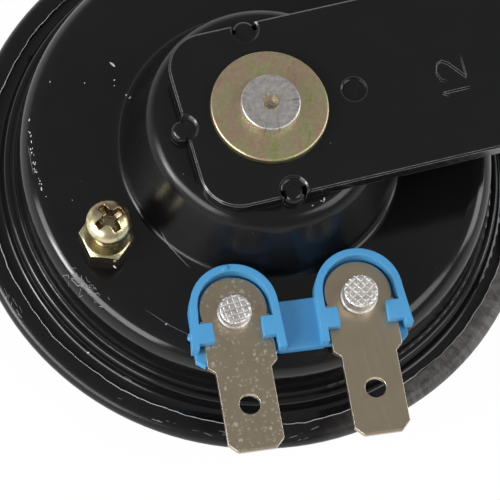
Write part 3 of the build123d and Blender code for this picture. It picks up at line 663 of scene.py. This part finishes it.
# plain number stamped in the bracket, along the arm: each stroke's two lips catch the light
stamp = Marks("bracket_number", ["mounting_bracket"], lift=0.008)
number_top, number_height = 19.7, 3.3
stroke_lip, lip_gap, lip_shift = 0.07, 0.13, 0.6
one = [(0.22, -0.5), (0.0, 0.0), (1.0, 0.0)]
two = [
    (0.26, -0.9), (0.08, -0.7), (0.0, 0.0), (0.10, 0.75), (0.30, 0.95), (0.5, 0.6),
    (0.98, -0.95), (1.0, 1.0),
]
for strokes, middle, width in ((one, -2.9, 0.9), (two, -0.35, 1.35)):
    for side in (-lip_gap, lip_gap):
        stamp.line([
            (number_top + number_height * a + side * lip_shift, middle + width * b + side)
            for a, b in strokes
        ], stroke_lip)
stamp.build(scuff_and_highlight("stamped_lip", (0.04, 0.04, 0.041), (0.19, 0.19, 0.185)))

# ---------------- the adjusting screw again, with a domed head and worn recess
screw_low, screw_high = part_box("adjusting_screw")
screw_x = (screw_low.x + screw_high.x) / 2 / MM
screw_y = (screw_low.y + screw_high.y) / 2 / MM
screw_top, screw_end = screw_high.z / MM, screw_low.z / MM
screw_r, screw_head_r = 1.5, 2.6
head_skirt, dome_h, head_chamfer = 0.55, 1.55, 0.12
dome_foot = screw_top - dome_h
head_under = dome_foot - head_skirt
pitch, thread_depth = 0.5, 0.24
recess_turn = math.radians(20)
recess_half_width, recess_half_len, recess_depth = 0.42, 1.75, 1.35
recess_lip, recess_side, recess_end = 0.12, 0.26, 0.9      # how far its walls slope
recess_core_r, recess_core_side = 1.0, 0.4
recess_floor = head_under + head_skirt + 0.05              # it cuts what lies over this


def cross_recess(u, v):
    """Depth of the cross recess at u, v from the screw's axis."""
    a = u * math.cos(recess_turn) + v * math.sin(recess_turn)
    b = -u * math.sin(recess_turn) + v * math.cos(recess_turn)
    deepest = 0.0
    for across, along in ((abs(a), abs(b)), (abs(b), abs(a))):
        side = min(1, max(0, (recess_half_width + recess_lip - across) / recess_side))
        end = min(1, max(0, (recess_half_len - along) / recess_end))
        deepest = max(deepest, side * side * (3 - 2 * side) * end ** 0.6)
    core = min(1, max(0, (recess_core_r - math.hypot(a, b)) / recess_core_side))
    return recess_depth * max(deepest, core * core * (3 - 2 * core))


def shaded_brown_head(s, colour):
    """The screw's chromate with painted shade: browner on its far side, and darker in the recess.
    """
    at = s.vector("SUBTRACT", s.place, (screw_x * MM, screw_y * MM, dome_foot * MM))
    far = s.vector("DOT_PRODUCT", at, (0.45, 0.85, 0.25))
    ragged = s.times(s.minus(s.noise(800, 3), 0.5), 1.4 * MM)
    brown = s.ramp(s.times(s.plus(far, ragged), 250.0), [(0.0, 0.0), (0.30, 1.0)])
    # painted shade in the recess: the surface lies in the recess where it is under the dome
    x, y, z = s.split(at)
    flat = s.plus(s.times(x, x), s.times(y, y))
    share = s.math("DIVIDE", flat, (screw_head_r * MM) ** 2)
    dome_at = s.times(s.math("SQRT", s.math("MAXIMUM", s.minus(1.0, share), 0.0)), dome_h * MM)
    under = s.ramp(s.times(s.minus(dome_at, z), 1000.0), [(0.12, 0.0), (0.5, 1.0)])
    inside = s.times(under, s.math("LESS_THAN", flat, (1.9 * MM) ** 2))
    # painted shade: brown towards the far side, darker again in the recess
    shade = s.mix(s.times(brown, 0.75), colour, (0.20, 0.13, 0.085))
    return s.mix(s.times(inside, 0.7), shade, (0.13, 0.085, 0.05))


def turned_screw(profile, sides=128):
    """Points and faces of the profile (radius, height) turned round the screw's axis.

    The recess lowers what lies over its floor. It lowers both points on the axis too,
    which gives the screw's end, inside the horn, a point."""
    points, rings = [], []
    for r, z in profile:
        first, count = len(points), sides if r else 1
        rings.append([first + i % count for i in range(sides)])
        for i in range(count):
            a = math.tau * i / sides
            cut = z > recess_floor or not r
            depth = cross_recess(r * math.cos(a), r * math.sin(a)) if cut else 0
            points.append(round_point(r, a, z - depth, (screw_x, screw_y)))
    faces = []
    for low, high in zip(rings, rings[1:]):
        for i in range(sides):
            j = (i + 1) % sides
            faces.append(list(dict.fromkeys((low[i], low[j], high[j], high[i]))))
    return points, faces


dome_steps = 44
profile = [(0, screw_top)]
for k in range(1, dome_steps + 1):
    t = math.pi / 2 * k / dome_steps
    profile.append((screw_head_r * math.sin(t), dome_foot + dome_h * math.cos(t)))
profile += [
    (screw_head_r, head_under + head_chamfer),
    (screw_head_r - head_chamfer, head_under),
    (screw_r, head_under),
]
z = head_under - head_chamfer
while z > screw_end + pitch:
    profile += [
        (screw_r, z), (screw_r - thread_depth, z - pitch * 0.4), (screw_r, z - pitch * 0.8),
    ]
    z -= pitch
profile += [(screw_r, screw_end), (0, screw_end)]
head_coat = chromated_zinc(
    "screw_head_coat", screw_tones, 0.27, 520, edges=0.06, with_painted_shade=shaded_brown_head,
)
screw = add_piece("domed_screw", *turned_screw(profile), head_coat, "screw_zinc", sharp_over=50)
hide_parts("adjusting_screw")

# ------------------------------------------------- cut edge of the folded rim
lip_sections = 720
lip_width, lip_width_swing = 0.10, 0.06
lip_foot, lip_side, lip_crown = -0.08, -0.02, 0.05         # heights from the rim's top
lip_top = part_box("diaphragm")[1].z / MM
wander = [0.0] * lip_sections
for waves, swing in ((7, 0.05), (19, 0.045), (43, 0.035), (97, 0.03)):
    phase = rng.uniform(0, math.tau)
    wander = [
        w + swing * math.sin(waves * math.tau * i / lip_sections + phase) * rng.uniform(0.6, 1.2)
        for i, w in enumerate(wander)
    ]
points = []
for i, w in enumerate(wander):
    a = math.tau * i / lip_sections
    width = lip_width + lip_width_swing * math.sin(5 * a + 1) * math.sin(13 * a)
    inner = lip_r - lip_width + w
    outer = inner + width
    section = (
        (inner, lip_foot), (inner, lip_side), (0.5 * (inner + outer), lip_crown),
        (outer, lip_side), (outer, lip_foot),
    )
    points += [round_point(r, a, lip_top + rise) for r, rise in section]
bared_edge = scuff_and_highlight("bared_edge", (0.16, 0.16, 0.165), (0.62, 0.61, 0.60), 0.35)
add_piece("hem_cut_edge", points, band(5, lip_sections), bared_edge, sharp_over=180)


# ---------------------------------------------- coat of paint over the ridge
def rounded(corners, radii, steps=9):
    """Section through the corners, the inner ones rounded."""
    path = [Vector(corners[0])]
    for before, at, after, r in zip(corners, corners[1:], corners[2:], radii):
        at = Vector(at)
        back, ahead = (Vector(before) - at).normalized(), (Vector(after) - at).normalized()
        half = back.angle(ahead) / 2
        centre = at + (back + ahead).normalized() * (r / math.sin(half))
        start = at + back * (r / math.tan(half)) - centre
        end = at + ahead * (r / math.tan(half)) - centre
        first = math.atan2(start.y, start.x)
        turn = (math.atan2(end.y, end.x) - first + math.pi) % math.tau - math.pi
        for k in range(steps + 1):
            a = first + turn * k / steps
            path.append(centre + Vector((math.cos(a), math.sin(a))) * r)
    return path + [Vector(corners[-1])]


ridge_sections, ridge_paint_root = 300, 0.05
ridge_fillet, ridge_foot_fillet = 0.5, 0.8
outline = rounded([
    (ridge_paint_from, terrace_h), (ridge_r, terrace_h),
    (ridge_foot_r, flange_h), (ridge_paint_to, flange_h),
], (ridge_fillet, ridge_foot_fillet))
over, under = [], []
for i, at in enumerate(outline):
    go = (outline[min(i + 1, len(outline) - 1)] - outline[max(i - 1, 0)]).normalized()
    out = Vector((-go.y, go.x))
    over.append(at + out * ridge_paint_thk)
    under.append(at - out * ridge_paint_root)
loop = over + under[::-1]
points = [
    round_point(at.x, math.tau * i / ridge_sections, at.y)
    for i in range(ridge_sections) for at in loop
]
add_piece(
    "ridge_paint", points, band(len(loop), ridge_sections), materials["black_paint"],
    sharp_over=60,
)

# ------------------------------ paint that has run into the locating holes
fill_low, fill_r, fill_steps = 27.15, hole_r + 0.02, 48
# (distance from the hole's axis, height), against the boss's bump in the hole
fill_section = [
    (0.75, fill_low), (0.75, 27.475), (1.10, 27.43), (1.36, 27.44),
    (fill_r, 27.60), (fill_r, fill_low),
]
n = len(fill_section)
points, faces = [], []
# each hole's direction from the horn's axis, and degrees of paint to each side of its inner
# point: one hole is whole, the bracket's outline cuts the other three open
for toward, spread in ((0, 180), (90, 78), (180, 78), (270, 78)):
    centre, first, whole = polar(hole_distance, toward), len(points), spread == 180
    sections = fill_steps if whole else fill_steps + 1
    for i in range(sections):
        a = math.radians(toward + 180 - spread + 2 * spread * i / fill_steps)
        points += [round_point(r, a, z, centre) for r, z in fill_section]
    faces += band(n, sections, first, whole)
    if not whole:
        faces.append(tuple(first + k for k in range(n)))
        faces.append(tuple(first + n * (sections - 1) + k for k in reversed(range(n))))
add_piece("hole_paint", points, faces, materials["black_paint"], sharp_over=60)

# ------------------------------------------------------------- stage and light
reach = 3.0
floor_mesh = bpy.data.meshes.new("floor")
corners = [(-reach, -reach, 0), (reach, -reach, 0), (reach, reach, 0), (-reach, reach, 0)]
floor_mesh.from_pydata(corners, [], [(0, 1, 2, 3)])
floor = bpy.data.objects.new("floor", floor_mesh)
bpy.context.scene.collection.objects.link(floor)

# pale floor that the camera and mirror-like surfaces see as nearly white
pale = Shader("pale_floor")
pale.set(Base_Color=(0.9, 0.9, 0.9), Roughness=0.9, Specular_IOR_Level=0.0)
glow = pale.node("Emission", in_Color=(1, 1, 1, 1), in_Strength=1.0)
rays = pale.node("LightPath").outputs
seen = pale.math("MAXIMUM", rays["Is Camera Ray"], rays["Is Glossy Ray"])
seen = pale.math("MAXIMUM", seen, rays["Is Transmission Ray"])
mixer = pale.node("MixShader")
pale.link(pale.times(seen, 0.97), mixer.inputs["Fac"])
pale.link(pale.bsdf.outputs["BSDF"], mixer.inputs[1])
pale.link(glow.outputs["Emission"], mixer.inputs[2])
pale.link(mixer.outputs["Shader"], pale.tree.nodes["Material Output"].inputs["Surface"])
floor_mesh.materials.append(pale.mat)

# world: white for the camera; otherwise pale near the horizon, dimmer overhead
world = bpy.data.worlds.new("studio")
bpy.context.scene.world = world
world.use_nodes = True
air = Nodes(world.node_tree)
sky = air.tree.nodes["Background"]
sky.inputs["Color"].default_value = (1, 1, 1, 1)
up_part = air.split(air.node("TexCoord").outputs["Generated"])[2]
fade = air.node(
    "MapRange", interpolation_type="SMOOTHSTEP", in_From_Min=0.05, in_From_Max=0.35,
    in_To_Min=0.85, in_To_Max=0.33,
)
air.link(up_part, fade.inputs["Value"])
level = air.node("MapRange", in_To_Max=1.0)
air.link(air.node("LightPath").outputs["Is Camera Ray"], level.inputs["Value"])
air.link(fade.outputs["Result"], level.inputs["To Min"])
air.link(level.outputs["Result"], sky.inputs["Strength"])

# soft boxes: degrees from +X, degrees up, size in metres, watts
lamp_distance, lamp_aim = 0.8, (0, 0, 0.015)
for name, side, height, size, power in (
    ("left_box", 177, 25, (0.44, 0.34), 2.8),
    ("left_core", 180, 22, (0.18, 0.18), 1.9),
    ("left_front_box", 208, 31, (0.42, 0.34), 3.2),
    ("right_box", -4, 26, (0.30, 0.34), 1.7),
    ("right_front_box", -36, 50, (0.34, 0.38), 1.5),
):
    data = bpy.data.lights.new(name, "AREA")
    data.shape = "RECTANGLE"
    data.size, data.size_y = size
    data.energy = power
    x, y = polar(lamp_distance * math.cos(math.radians(height)), side)
    place = (x, y, lamp_aim[2] + lamp_distance * math.sin(math.radians(height)))
    obj = bpy.data.objects.new(name, data)
    obj.location = place
    obj.rotation_euler = (Vector(lamp_aim) - Vector(place)).to_track_quat("-Z", "Y").to_euler()
    bpy.context.scene.collection.objects.link(obj)

# -------------------------------- camera, at the place fitted to the photograph
cam_data = bpy.data.cameras.new("view")
cam_data.lens = 227.3
cam_data.sensor_width = 36.0
cam_data.clip_start = 0.01
cam_data.clip_end = 20
cam = bpy.data.objects.new("view", cam_data)
cam_place = Vector((-71.98, -122.53, 352.17))
right = Vector((0.95590, -0.27564, 0.10136))
up = Vector((0.22602, 0.91084, 0.34537))
back = Vector((-0.18752, -0.30723, 0.93298))
turned = Matrix((right, up, back)).transposed().to_4x4()
cam.matrix_world = Matrix.Translation(cam_place * MM) @ turned
bpy.context.scene.collection.objects.link(cam)
bpy.context.scene.camera = cam
bpy.context.scene.view_settings.view_transform = "Standard"
